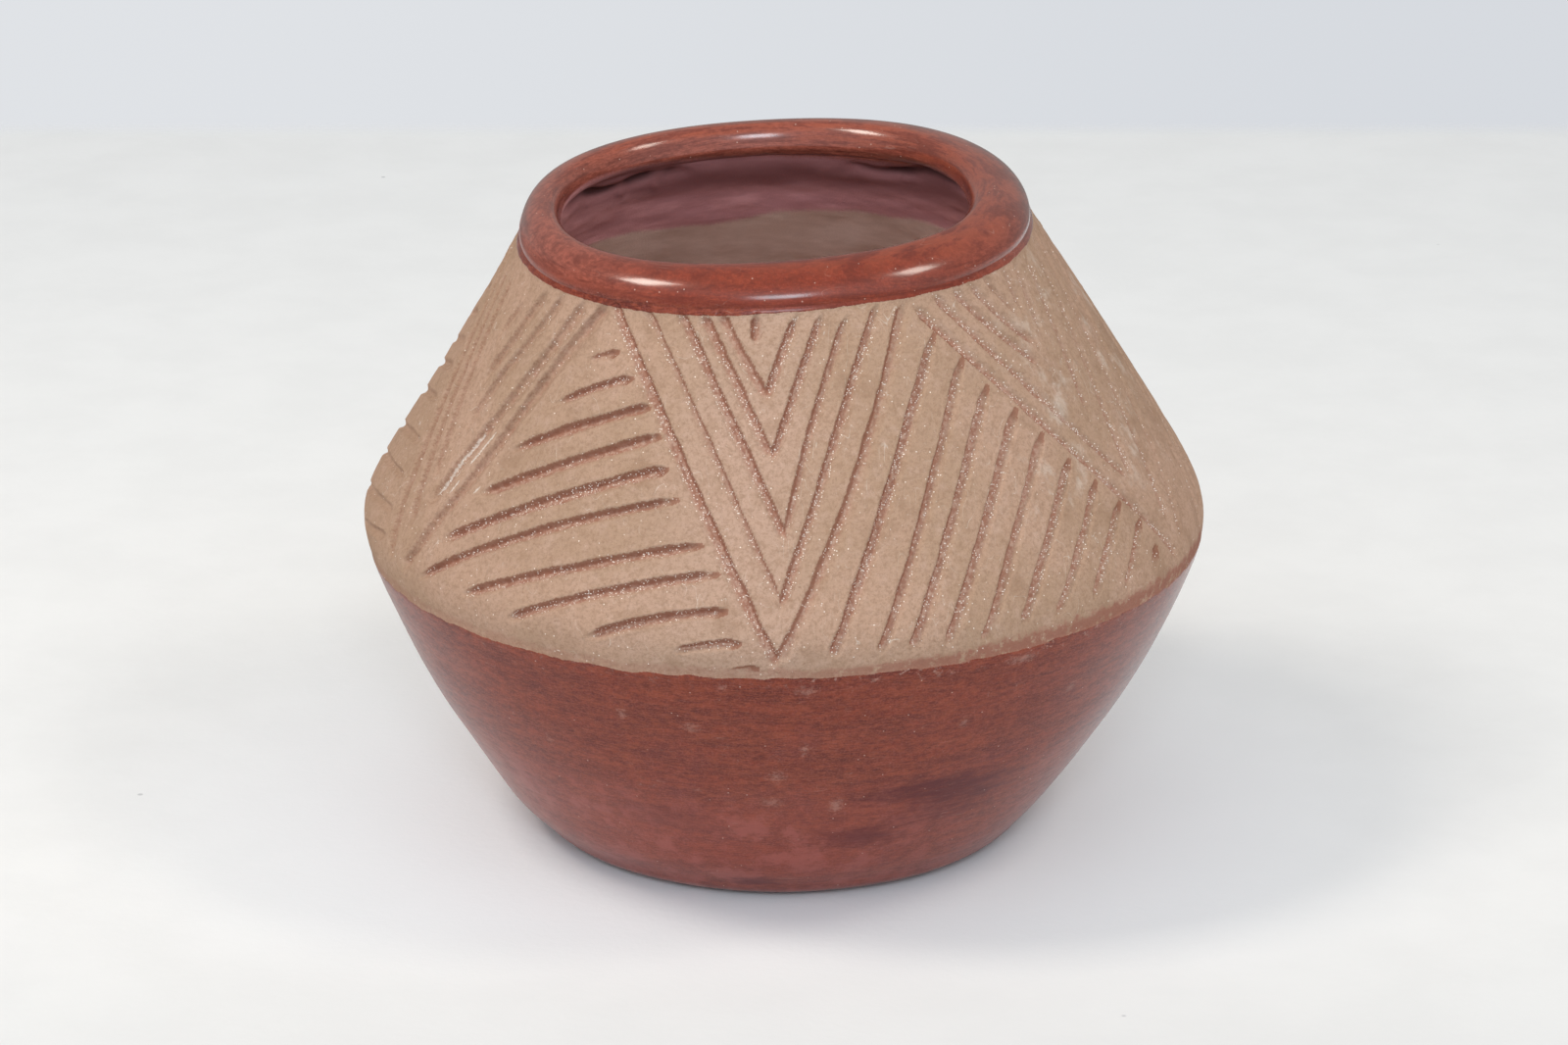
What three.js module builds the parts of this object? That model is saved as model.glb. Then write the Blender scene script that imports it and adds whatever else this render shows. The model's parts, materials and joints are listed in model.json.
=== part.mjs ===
// A small hand-coiled pottery olla: a round-bottomed bowl that turns in at a soft keel, a conical
// shoulder above it, and a rolled lip round the mouth. It is made up as its potter makes it, from a
// pressed base slab with rings of clay luted on it, one above another. Each ring meets the next on a
// flat joint face. Millimetres, +Z up, -Y is the front. The origin is on the table, under the middle of
// the widest part.
import * as THREE from "three";

// Driving dimensions: the outside of the wall, from the table to the mouth.
const height = 85.5; // crest of the lip, as the mean of its uneven edge
const footRadius = 26; // flat that the pot stands on
const heelRadius = 32.2; // where the bowl's wall would reach the table if its heel were not rounded
const heelHeight = 2.4; // height over which the heel rounds up into the wall
const keelRadius = 54.8; // the widest part
const keelHeight = 43.3;
const keelRounding = 1.8; // how far the sharp keel is rounded in
const bellyBulge = 1.6; // how far the bowl's wall bows out from a straight cone
const shoulderBow = 0.4; // how far the shoulder's wall bows in from a straight cone
const neckRadius = 33.3; // outside of the shoulder where the lip sits on it

// Driving dimensions: the inside.
const wallThickness = 5.2; // measured level, from outside to inside
const floorThickness = 6.5;
const floorFlatRadius = 17; // the part of the inner floor that is flat
const floorRise = 9; // height over which the floor rounds up into the wall

// Driving dimensions: the rolled lip, seen in section.
const lipHeight = 4.2;
const lipStand = 0.5; // how far the lip stands out past the shoulder below it
const lipFullness = 0.73; // how square the lip's outer shoulder is, from 0 to 1
const lipCrestInset = 4.9; // from the neck's outside to the lip's crest
const lipMouthInset = 6.8; // from the neck's outside to the lip's innermost edge
const lipMouthDrop = 2.6; // from the crest down to that edge

// Driving dimensions: where one piece of clay ends and the next begins.
const slabRim = 2.5; // how far the base slab turns up past its own floor
const slipDrop = 3.7; // from the keel down to where the polished bowl ends
const bowlCoils = 3;
const shoulderCoils = 4;

// Driving dimensions: the unevenness of a pot made by hand, none at the keel and most at its two ends.
// A bearing is measured from the front, and is positive towards the right.
const mouthSquareness = 0.022; // share by which the mouth swells at its four soft corners
const mouthCorner = THREE.MathUtils.degToRad(-42); // bearing of one corner
const footShift = 1.05; // how far the foot lies to the left
const neckLean = 1.5; // how far the neck leans to the left
const mouthShift = 1.6; // how much further to the left the opening in it lies
const lipTilt = 2.1; // how much higher than the mean the lip's highest side is
const lipTiltBearing = THREE.MathUtils.degToRad(129);

// How finely the surfaces are drawn.
const segmentsAround = 60;
const rowSpacing = 3.4;
const lipCurveRows = 5;

const redSlip = { color: 0x7d3a2c, roughness: 0.32, metalness: 0 };
const bareClay = { color: 0xb08a70, roughness: 0.85, metalness: 0 };

const neckHeight = height - lipHeight;
const slabTop = floorThickness + slabRim;
const slipLine = keelHeight - slipDrop;
// The bowl and the shoulder are two nearly straight cones that would cross at a sharp keel.
const sharpKeelRadius = keelRadius + keelRounding;

function bow(share) {
  return 4 * share * (1 - share);
}

function bowlRadius(z) {
  const share = z / keelHeight;
  return THREE.MathUtils.lerp(heelRadius, sharpKeelRadius, share) + bellyBulge * bow(share);
}

function shoulderRadius(z) {
  const share = (z - keelHeight) / (neckHeight - keelHeight);
  return THREE.MathUtils.lerp(sharpKeelRadius, neckRadius, share) - shoulderBow * bow(share);
}

// Outside of the wall above the heel: a hyperbola joins the two cones at the keel.
function wallRadius(z) {
  const bowl = bowlRadius(z);
  const shoulder = shoulderRadius(z);
  return (bowl + shoulder) / 2 - Math.hypot((bowl - shoulder) / 2, keelRounding);
}

// A quadratic curve that leaves a flat level and joins a wall higher up, as a radius at a height.
function roundedUp(z, level, rise, flatRadius, cornerRadius, wallJoinRadius) {
  const t = Math.sqrt((z - level) / rise);
  return (1 - t) ** 2 * flatRadius + 2 * t * (1 - t) * cornerRadius + t ** 2 * wallJoinRadius;
}

function outerRadius(z) {
  if (z >= heelHeight) return wallRadius(z);
  return roundedUp(z, 0, heelHeight, footRadius, heelRadius, wallRadius(heelHeight));
}

function innerRadius(z) {
  const floorTop = floorThickness + floorRise;
  if (z >= floorTop) return outerRadius(z) - wallThickness;
  const corner = outerRadius(floorThickness) - wallThickness;
  const wallJoin = outerRadius(floorTop) - wallThickness;
  return roundedUp(z, floorThickness, floorRise, floorFlatRadius, corner, wallJoin);
}

// Points up a wall between two heights, evenly spaced, as a lathe's radius and height.
function wallPoints(radiusAt, low, high) {
  const rows = Math.max(2, Math.ceil((high - low) / rowSpacing));
  return Array.from({ length: rows + 1 }, (_, row) => {
    const z = THREE.MathUtils.lerp(low, high, row / rows);
    return new THREE.Vector2(radiusAt(z), z);
  });
}

// The slab has the foot, the heel and the floor, and its turned-up rim takes the first coil.
function slabProfile() {
  const heel = wallPoints(outerRadius, 0, heelHeight);
  const outside = wallPoints(outerRadius, heelHeight, slabTop).slice(1);
  const inside = wallPoints(innerRadius, floorThickness, slabTop).reverse();
  const footCentre = new THREE.Vector2(0, 0);
  const floorCentre = new THREE.Vector2(0, floorThickness);
  return [footCentre, ...heel, ...outside, ...inside, floorCentre];
}

function coilProfile(low, high) {
  const outside = wallPoints(outerRadius, low, high);
  const inside = wallPoints(innerRadius, low, high).reverse();
  return [...outside, ...inside, outside[0]];
}

// The lip stands out a little past the shoulder, rolls over its crest and turns down into the neck.
function lipProfile() {
  const seatOutside = new THREE.Vector2(outerRadius(neckHeight), neckHeight);
  const seatInside = new THREE.Vector2(innerRadius(neckHeight), neckHeight);
  const crest = new THREE.Vector2(seatOutside.x - lipCrestInset, height);
  const mouth = new THREE.Vector2(seatOutside.x - lipMouthInset, height - lipMouthDrop);
  const outside = new THREE.CubicBezierCurve(
    seatOutside,
    new THREE.Vector2(seatOutside.x + lipStand, neckHeight + lipHeight * 0.4),
    new THREE.Vector2(THREE.MathUtils.lerp(crest.x, seatOutside.x, lipFullness), height),
    crest,
  );
  const roll = new THREE.CubicBezierCurve(
    crest,
    new THREE.Vector2(THREE.MathUtils.lerp(crest.x, mouth.x, 0.6), height),
    new THREE.Vector2(mouth.x, THREE.MathUtils.lerp(mouth.y, height, 0.6)),
    mouth,
  );
  const neck = new THREE.QuadraticBezierCurve(
    mouth,
    new THREE.Vector2(mouth.x, (mouth.y + neckHeight) / 2),
    seatInside,
  );
  const [outsidePoints, rollPoints, neckPoints] = [outside, roll, neck].map((curve) =>
    curve.getPoints(lipCurveRows),
  );
  return [...outsidePoints, ...rollPoints.slice(1), ...neckPoints.slice(1), seatOutside];
}

// Moves a turned point as the potter's hands left it: the foot off centre, and the mouth a soft square,
// off centre and tilted. All the points of one level joint face stay in one plane.
function unevenByHand(point) {
  if (point.z <= keelHeight) {
    point.x -= footShift * (1 - point.z / keelHeight) ** 2;
    return;
  }
  const share = (point.z - keelHeight) / (height - keelHeight);
  const bearing = Math.atan2(point.x, -point.y);
  const swell = 1 + mouthSquareness * share ** 2 * Math.cos(4 * (bearing - mouthCorner));
  const depth = outerRadius(Math.min(point.z, neckHeight)) - Math.hypot(point.x, point.y);
  const inward = THREE.MathUtils.clamp(depth / lipMouthInset, 0, 1);
  point.x = point.x * swell - (neckLean + mouthShift * inward) * share ** 2;
  point.y = point.y * swell;
  const uphill = point.x * Math.sin(lipTiltBearing) - point.y * Math.cos(lipTiltBearing);
  point.z += (lipTilt * share * uphill) / neckRadius;
}

// Turns a profile about Z, starting at the front, and gives it the unevenness.
function turnedPiece(name, profile, finish) {
  const geometry = new THREE.LatheGeometry(profile, segmentsAround).rotateX(Math.PI / 2);
  const positions = geometry.attributes.position;
  const point = new THREE.Vector3();
  for (let i = 0; i < positions.count; i += 1) {
    unevenByHand(point.fromBufferAttribute(positions, i));
    positions.setXYZ(i, point.x, point.y, point.z);
  }
  geometry.computeVertexNormals();
  const mesh = new THREE.Mesh(geometry, new THREE.MeshStandardMaterial(finish));
  mesh.name = name;
  return mesh;
}

// Rings of equal height between two joint heights, numbered from the bottom.
function coilPieces(name, low, high, count, finish) {
  return Array.from({ length: count }, (_, i) => {
    const bottom = THREE.MathUtils.lerp(low, high, i / count);
    const top = THREE.MathUtils.lerp(low, high, (i + 1) / count);
    return turnedPiece(`${name}_${i + 1}`, coilProfile(bottom, top), finish);
  });
}

const olla = new THREE.Group();
olla.add(
  turnedPiece("base_slab", slabProfile(), redSlip),
  ...coilPieces("bowl_coil", slabTop, slipLine, bowlCoils, redSlip),
  ...coilPieces("shoulder_coil", slipLine, neckHeight, shoulderCoils, bareClay),
  turnedPiece("lip_coil", lipProfile(), redSlip),
);

export default olla;
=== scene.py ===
import itertools
import json
import math

import bmesh
import bpy
import numpy as np
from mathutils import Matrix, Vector


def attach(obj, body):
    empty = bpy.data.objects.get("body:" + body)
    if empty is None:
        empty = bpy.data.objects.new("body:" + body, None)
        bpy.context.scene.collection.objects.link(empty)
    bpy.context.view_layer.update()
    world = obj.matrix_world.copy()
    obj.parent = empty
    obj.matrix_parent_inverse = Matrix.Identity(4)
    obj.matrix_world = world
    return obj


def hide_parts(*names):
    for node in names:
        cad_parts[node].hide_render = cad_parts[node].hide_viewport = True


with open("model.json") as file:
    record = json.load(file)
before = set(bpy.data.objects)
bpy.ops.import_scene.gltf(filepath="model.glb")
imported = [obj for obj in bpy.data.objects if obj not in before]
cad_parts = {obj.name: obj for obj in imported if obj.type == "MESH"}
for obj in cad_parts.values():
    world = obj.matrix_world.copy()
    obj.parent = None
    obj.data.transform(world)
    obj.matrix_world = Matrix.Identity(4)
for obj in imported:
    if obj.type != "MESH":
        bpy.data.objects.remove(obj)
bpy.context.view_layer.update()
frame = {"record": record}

# Sizes here are in millimetres and become metres when a mesh is finished.
# A bearing is measured round the pot from the front (-Y), positive towards the right (+X).
millimetre = 0.001

# The turned shape, with the same values and curves as the solid model.
pot = {
    "height": 85.5,
    "footRadius": 26,
    "heelRadius": 32.2,
    "heelHeight": 2.4,
    "keelRadius": 54.8,
    "keelHeight": 43.3,
    "keelRounding": 1.8,
    "bellyBulge": 1.6,
    "shoulderBow": 0.4,
    "neckRadius": 33.3,
    "wallThickness": 5.2,
    "floorThickness": 6.5,
    "floorFlatRadius": 17,
    "floorRise": 9,
    "slabRim": 2.5,
    "slipDrop": 3.7,
    "bowlCoils": 3,
    "shoulderCoils": 4,
}

# The rolled lip, seen in section.
lip = {
    "height": 4.2,
    "stand": 0.5,
    "fullness": 0.73,
    "crestInset": 4.9,
    "mouthInset": 6.8,
    "mouthDrop": 2.6,
}

# What the potter's hands did to the turned shape.
hands = {
    "mouthSquareness": 0.022,
    "mouthCorner": -42,
    "footShift": 1.05,
    "neckLean": 1.5,
    "mouthShift": 1.6,
    "lipTilt": 2.1,
    "lipTiltBearing": 129,
}

neckHeight = pot["height"] - lip["height"]
slabTop = pot["floorThickness"] + pot["slabRim"]
slipLine = pot["keelHeight"] - pot["slipDrop"]
sharpKeelRadius = pot["keelRadius"] + pot["keelRounding"]


def blend(a, b, share):
    return a + (b - a) * share


def smooth(low, high, value):
    share = np.clip((value - low) / (high - low), 0, 1)
    return share * share * (3 - 2 * share)


def bow(share):
    return 4 * share * (1 - share)


def wallRadius(z):
    low = z / pot["keelHeight"]
    bowl = blend(pot["heelRadius"], sharpKeelRadius, low) + pot["bellyBulge"] * bow(low)
    high = (z - pot["keelHeight"]) / (neckHeight - pot["keelHeight"])
    shoulder = blend(sharpKeelRadius, pot["neckRadius"], high) - pot["shoulderBow"] * bow(high)
    return (bowl + shoulder) / 2 - np.hypot((bowl - shoulder) / 2, pot["keelRounding"])


def roundedUp(z, level, rise, flat, corner, wallJoin):
    t = np.sqrt(np.clip((z - level) / rise, 0, 1))
    return (1 - t) ** 2 * flat + 2 * t * (1 - t) * corner + t**2 * wallJoin


def outerRadius(z):
    heel = pot["heelHeight"]
    turned = roundedUp(z, 0, heel, pot["footRadius"], pot["heelRadius"], wallRadius(heel))
    return np.where(z >= heel, wallRadius(np.maximum(z, heel)), turned)


def innerRadius(z):
    floor = pot["floorThickness"]
    floorTop = floor + pot["floorRise"]
    corner = outerRadius(floor) - pot["wallThickness"]
    wallJoin = outerRadius(floorTop) - pot["wallThickness"]
    turned = roundedUp(z, floor, pot["floorRise"], pot["floorFlatRadius"], corner, wallJoin)
    return np.where(z >= floorTop, outerRadius(z) - pot["wallThickness"], turned)


# Shifts the foot, and leans, squares and tilts the neck, for points in columns x, y, z.
def unevenByHand(points):
    x, y, z = points.T
    share = np.clip((z - pot["keelHeight"]) / (pot["height"] - pot["keelHeight"]), 0, None)
    bearing = np.arctan2(x, -y)
    corner = math.radians(hands["mouthCorner"])
    swell = 1 + hands["mouthSquareness"] * share**2 * np.cos(4 * (bearing - corner))
    depth = outerRadius(np.minimum(z, neckHeight)) - np.hypot(x, y)
    inward = np.clip(depth / lip["mouthInset"], 0, 1)
    x = x * swell - (hands["neckLean"] + hands["mouthShift"] * inward) * share**2
    x = x - hands["footShift"] * np.clip(1 - z / pot["keelHeight"], 0, None) ** 2
    y = y * swell
    tilt = math.radians(hands["lipTiltBearing"])
    uphill = x * math.sin(tilt) - y * math.cos(tilt)
    z = z + hands["lipTilt"] * share * uphill / pot["neckRadius"]
    return np.column_stack((x, y, z))


# Smooth noise from -1 to 1, in lumps of about the given size.
def cloud(points, size, seed):
    table = np.random.default_rng(seed).uniform(-1, 1, 4096)
    scaled = points / size
    cell = np.floor(scaled).astype(np.int64)
    share = scaled - cell
    share = share * share * (3 - 2 * share)
    total = np.zeros(len(points))
    for corner in itertools.product((0, 1), repeat=3):
        at = cell + corner
        key = (at[:, 0] * 73856093) ^ (at[:, 1] * 19349663) ^ (at[:, 2] * 83492791)
        weight = np.prod(np.where(corner, share, 1 - share), axis=1)
        total += weight * table[key & 4095]
    return total


# The carving. A stroke is drawn through points of bearing in degrees and height in millimetres.
carving = {
    "width": 1.6,
    "depth": 0.9,
    "roughness": 0.2,
    "burr": 0.09,
    "burrReach": 0.22,
    "tipShadeReach": 1.5,
}

coneTurn = math.sin(math.atan2(sharpKeelRadius - pot["neckRadius"], neckHeight - pot["keelHeight"]))
heights = np.linspace(slipLine - 6, neckHeight, 800)
steps = np.hypot(np.diff(outerRadius(heights)), np.diff(heights))
reaches = pot["neckRadius"] / coneTurn + np.append(np.cumsum(steps[::-1])[::-1], 0)


# The shoulder is nearly a cone. Slit at the back of a bearing and rolled out flat, it is a fan.
def rolledOut(bearing, z, centre):
    reach = np.interp(z, heights, reaches)
    turn = (np.remainder(bearing - centre + math.pi, 2 * math.pi) - math.pi) * coneTurn
    return np.column_stack((reach * np.sin(turn), -reach * np.cos(turn)))


# A row has a bearing and a height for each point, then width, depth, the taper at the first and the last
# end, mica, and its own lean if it needs one. The lean is the side of the deepest line, from -1 to 1,
# right being positive when a stroke is drawn downwards.
# The last argument is the share of a stroke at which the tool dug in, and a dark point of painted shade is
# put there.
def strokes(rows, lean, tone=1, shadedTip=None):
    names = ("points", "width", "depth", "first", "last", "mica", "lean")
    return [{"lean": lean, "tone": tone, "shadedTip": shadedTip, **dict(zip(names, row))} for row in rows]


# 1 at a centre, falling to nothing within about two reaches of it.
def hump(value, centre, reach):
    return np.exp(-(((value - centre) / reach) ** 2))


frontStrokes = strokes([
    ((-36.5, 81, -19, 66.5, -1, 41), 1.15, 0.85, 1, 1, 0.8, 0.45),
    ((-28, 80.7, -13, 67, -0.5, 48.5), 0.8, 0.55, 1, 3, 0.7, 0.5),
    ((-20.5, 80.7, -8.5, 68.5, 0.5, 55.5), 1, 0.8, 1, 2, 0.7, 0.45),
    ((-15.5, 80.5, -8, 72.8, -1.5, 64.5), 1.05, 0.75, 1, 2, 0.6, 0.5),
    ((-11.7, 80.7, -6.5, 75.5, -2, 70.8), 1.05, 0.7, 1, 2, 0.2, 0.5),
    ((-3.7, 80.4, -3.8, 79, -4, 77.6), 1, 0.9, 0.6, 0.8, 0.1),
    ((5, 80.2, 1.8, 76.7, -2, 71), 0.9, 0.8, 1.5, 1.5, 0.9),
    ((10.2, 80, 4.5, 73.5, -1.5, 64.2), 0.95, 0.8, 1.5, 2, 0.9),
    ((15.5, 79.6, 7.5, 70.5, 0.3, 55.7), 0.85, 0.65, 1.5, 3, 0.3),
    ((22.5, 80.5, 10, 67, -0.4, 48), 0.95, 0.7, 1.5, 2, 0.8),
    ((28.5, 80.3, 13.5, 63.7, -0.5, 41.7), 1.15, 0.6, 2, 1, 0.3),
], lean=-0.35)

leftTriangleStrokes = strokes([
    ((-38.4, 74, -35.5, 74.7, -32.3, 75.5), 0.75, 0.5, 1.5, 0.8, 0.4),
    ((-43, 68, -36, 70.8, -28.2, 72.8), 0.9, 0.75, 3, 1.2, 0.5),
    ((-49.3, 61.3, -37, 66.2, -23, 70), 1.05, 0.9, 4, 2, 0.2),
    ((-51.8, 55.5, -36.5, 62, -20.5, 66.8), 1.05, 0.9, 3, 2.5, 0.2),
    ((-55, 49, -37, 57.7, -18.9, 63.1), 1.1, 0.95, 2.5, 1, 0.8),
    ((-57.3, 43.2, -37, 54.1, -16.4, 59.8), 1, 0.85, 3, 3, 0.4),
    ((-47.5, 43.8, -30, 50.8, -11.8, 55), 1, 0.85, 3, 2.5, 0.5),
    ((-38.6, 42.8, -24, 48.8, -9.1, 51.9), 1, 0.85, 2, 3, 0.7),
    ((-26.1, 42.8, -17, 46.3, -7.7, 47.8), 0.95, 0.9, 2, 1.5, 0.6),
    ((-14.1, 42.5, -10, 43.5, -5.7, 44), 0.95, 0.7, 1.5, 1, 0.8),
    ((-7.5, 39.9, -5.5, 40.4, -3.4, 40.7), 0.9, 0.4, 2, 0.6, 0),
], lean=0.1, shadedTip=1)

rightTriangleStrokes = strokes([
    ((32.6, 76.2, 18, 61.5, 6.3, 42.5), 1, 0.9, 3, 0.8, 0.8),
    ((36.6, 72.8, 22.5, 58.3, 12.5, 42.5), 0.95, 0.75, 2.5, 1, 0.4),
    ((39.8, 69.3, 26, 56.2, 16.8, 42.7), 1, 0.85, 2.5, 0.8, 0.7),
    ((43.8, 66, 30.5, 54.5, 21.5, 42.6), 1, 0.8, 2.5, 1.2, 0.6),
    ((47.3, 62.6, 35.5, 53.3, 26.7, 42), 0.95, 0.75, 2.5, 1.2, 0.3),
    ((50.6, 58.9, 40.5, 51.7, 33, 43.8), 1, 0.9, 2, 0.7, 0.9),
    ((54, 55.6, 45.5, 49.8, 38.4, 43.5), 0.95, 0.8, 2, 1, 0.7),
    ((56.9, 52.4, 50.5, 48.5, 45.2, 44.2), 0.95, 0.75, 2, 1, 0.7),
    ((59.8, 49.7, 55.5, 46.8, 51.7, 43.8), 0.95, 0.75, 1.5, 1, 0.8),
    ((60.7, 46.1, 60, 45.3, 59.3, 44.5), 1, 0.6, 0.6, 0.6, 0.6),
], lean=-0.5, shadedTip=0)

leftStrokes = strokes([
    ((-36.5, 80.8, -48, 68.8, -56, 55, -61.8, 43), 1.4, 1, 2, 1.5, 0.1),
    ((-43, 80.3, -50.8, 71, -57.2, 62, -62, 51.8), 1.35, 1, 2, 2, 0.3),
    ((-50, 80.2, -55.4, 73.8, -60.4, 67.5, -62.5, 61), 1.25, 0.85, 2, 4, 0.2),
    ((-55.8, 79.8, -60.2, 74.7, -65, 66.5), 1.25, 0.85, 2, 3, 0.1),
    ((-63.5, 77.3, -65.5, 74.8, -67.5, 72), 1.05, 0.6, 2, 2, 0.1),
    ((-93, 79.5, -85.5, 73, -76, 60.8, -66, 43.5), 1.3, 0.95, 2, 1.5, 0.1),
    ((-84, 78.5, -76, 67.5, -69.5, 57, -64, 48.8), 1.2, 0.9, 2, 2, 0.2),
    ((-76.5, 78.5, -71, 66.5, -64, 54.2), 1.15, 0.75, 2, 3, 0.1),
], lean=-0.35, tone=0.45)

rightStrokes = strokes([
    ((30.5, 79.5, 44.8, 67.5, 57, 54.8, 66, 43.8), 0.95, 0.7, 1.5, 1, 0.9),
    ((35.5, 80.5, 45.2, 71.8, 54, 63, 63, 53.7), 0.9, 0.65, 1.5, 2, 0.9),
    ((41, 80.5, 44.5, 77, 48.5, 73.8, 54.8, 69), 0.95, 0.7, 1.5, 2, 0.8),
    ((45.6, 80.5, 50, 76, 56.5, 71.3), 0.9, 0.65, 1.5, 2, 0.8),
    ((49.8, 80.8, 52.5, 78, 55.5, 75), 0.75, 0.5, 1.5, 2, 0.6),
    ((57.9, 80.2, 57.3, 78, 56.7, 75.5), 0.85, 0.55, 1.5, 1.5, 0.8),
    ((63, 80.2, 61, 76.5, 59.4, 72.5), 0.85, 0.55, 1.5, 2, 0.8),
    ((69.2, 79.6, 64.8, 72, 61, 62.2), 1, 0.65, 1.5, 2, 0.9),
    ((76, 78.5, 69.5, 68.5, 63.2, 54.2), 1, 0.65, 1.5, 2, 0.9),
    ((82.5, 80, 75.5, 67, 67, 47.8), 1.1, 0.7, 1.5, 1.5, 0.8),
    ((90, 79.5, 80.5, 63.5, 69, 45), 1.05, 0.6, 1.5, 1.5, 0.6),
], lean=-0.3)

farLeftStrokes = strokes([
    ((-108, 57.5, -95, 61.8, -82.5, 64.6), 0.95, 0.55, 3, 1.5, 0.2),
    ((-108, 53, -95, 57.8, -80.4, 60.6), 0.95, 0.55, 3, 1.5, 0.2),
    ((-108, 48, -92.6, 53.3, -76.5, 56), 0.95, 0.55, 3, 1.5, 0.2),
    ((-106, 45, -90, 49.7, -74.6, 51.8), 0.95, 0.55, 3, 1.5, 0.2),
    ((-96, 43.5, -84.1, 46.5, -71.6, 48.2), 0.9, 0.5, 3, 1.5, 0.2),
    ((-83, 42.6, -76, 44, -70, 45), 0.9, 0.45, 2, 1, 0.2),
    ((-104, 62.5, -95, 65.2, -85, 67.5), 0.9, 0.5, 2, 1.5, 0.2),
    ((-101, 67.2, -95, 69, -88.5, 70.3), 0.9, 0.7, 1.5, 1.5, 0.2),
    ((-98, 71.5, -95, 72.6, -91.5, 73.5), 0.8, 0.6, 1, 1, 0.2),
], lean=0.1, tone=0.35)


# How deep the carving is at each point, and the groove's mica, shade and tone there.
def carvedDepth(bearing, z, carvings):
    groove = np.zeros((4, len(z)))
    groove[3] = 1
    grain = np.column_stack((rolledOut(bearing, z, 0), groove[0]))
    chatter = 0.6 * cloud(grain, 1.1, 31) + 0.6 * cloud(grain, 0.45, 33)
    waver = cloud(grain, 4, 32)
    for item in carvings:
        points = np.array(item["points"], float).reshape(-1, 2)
        angles = np.radians(points[:, 0])
        centre = angles.mean()
        corners = rolledOut(angles, points[:, 1], centre)
        spans = np.append(0, np.cumsum(np.hypot(*np.diff(corners, axis=0).T)))
        length = spans[-1]
        order = min(len(points) - 1, 3)
        along = np.linspace(0, 1, 25)
        fits = [np.polyfit(spans / length, c, order) for c in corners.T]
        path = np.column_stack([np.polyval(fit, along) for fit in fits])
        reach = carving["width"] * item["width"] + 0.8
        turn = np.remainder(bearing - centre + math.pi, 2 * math.pi) - math.pi
        spread = np.ptp(angles) / 2 + reach / 25
        low = points[:, 1].min() - reach
        high = points[:, 1].max() + reach
        near = np.flatnonzero((abs(turn) < spread) & (z > low) & (z < high))
        if not len(near):
            continue
        spots = rolledOut(bearing[near], z[near], centre)
        best = np.full(len(near), 1e9)
        offset = np.zeros(len(near))
        share = np.zeros(len(near))
        for i in range(len(path) - 1):
            leg = path[i + 1] - path[i]
            span = leg @ leg
            t = np.clip((spots - path[i]) @ leg / span, 0, 1)
            away = spots - path[i] - t[:, None] * leg
            gap = np.hypot(*away.T)
            closer = gap < best
            best = np.where(closer, gap, best)
            cross = leg[0] * away[:, 1] - leg[1] * away[:, 0]
            offset = np.where(closer, np.sign(cross) * gap, offset)
            share = np.where(closer, (i + t) / (len(path) - 1), share)
        taper = smooth(-0.3, item["first"], share * length)
        taper = np.minimum(taper, smooth(-0.3, item["last"], (1 - share) * length))
        half = carving["width"] * item["width"] / 2 * (0.45 + 0.55 * taper)
        half = half * (1 + carving["roughness"] * (0.5 * chatter[near] + 0.7 * waver[near]))
        across = np.clip(offset / half, -1, 1)
        lean = item["lean"]
        bent = np.where(across < lean, (across - lean) / (1 + lean), (across - lean) / (1 - lean))
        gentle = np.where(across < lean, lean, -lean) > 0
        hollow = 1 - np.abs(bent) ** np.where(gentle, 1.6, 2.1)
        steep = smooth(-0.3, 0.5, np.where(gentle, -1, 1) * np.abs(bent)) * taper * (best < half)
        # A dark point of painted shade where the tool dug in.
        if item["shadedTip"] is not None:
            tipShade = hump(np.abs(share - item["shadedTip"]) * length, 0, carving["tipShadeReach"])
            steep = np.maximum(steep, tipShade * (best < half))
        deep = carving["depth"] * item["depth"] * taper**0.7 * hollow
        deep = deep * (1 + carving["roughness"] * chatter[near])
        lifted = carving["burr"] * taper * hump(best, half, carving["burrReach"])
        deep = np.where(best < half, deep, -lifted)
        depth = groove[0, near]
        deeper = deep > depth
        raised = (depth <= 0) & (deep < depth)
        groove[0, near] = np.where(deeper | raised, deep, depth)
        for i, value in enumerate((item["mica"], steep, item["tone"]), 1):
            groove[i, near] = np.where(deeper, value, groove[i, near])
    return groove


# The nested arrowheads and hatched triangles of the back go on as the front's do.
back = {
    "arrowTops": (0, 8.5, 15.5, 22, 26.5),
    "arrowTips": (41.5, 48.8, 56, 64.5, 71),
    "arrowCentres": (126, 184, 240),
    "arrowHalf": 28.5,
    "arrowLean": 0.3,
    "triangles": ((96, True), (155, False), (212, True)),
    "triangleHalf": 26,
    "triangleLean": -0.3,
    "triangleStrokes": 9,
    "top": 80.6,
    "seed": 7,
}


def arrowhead(centre, rng):
    rows = []
    for inset, tip in zip(back["arrowTops"], back["arrowTips"]):
        for side in (-1, 1):
            top = centre + side * (back["arrowHalf"] - inset) + rng.uniform(-0.8, 0.8)
            low = centre + side * 0.4 + rng.uniform(-0.5, 0.5)
            middle = blend(top, low, 0.55 + rng.uniform(-0.03, 0.03))
            points = (top, back["top"], middle, blend(back["top"], tip, 0.42), low, tip)
            rows.append((points, rng.uniform(0.8, 1.15), rng.uniform(0.6, 0.85), 1.5, 1.5, 0.5))
    return strokes(rows, back["arrowLean"])


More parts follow.
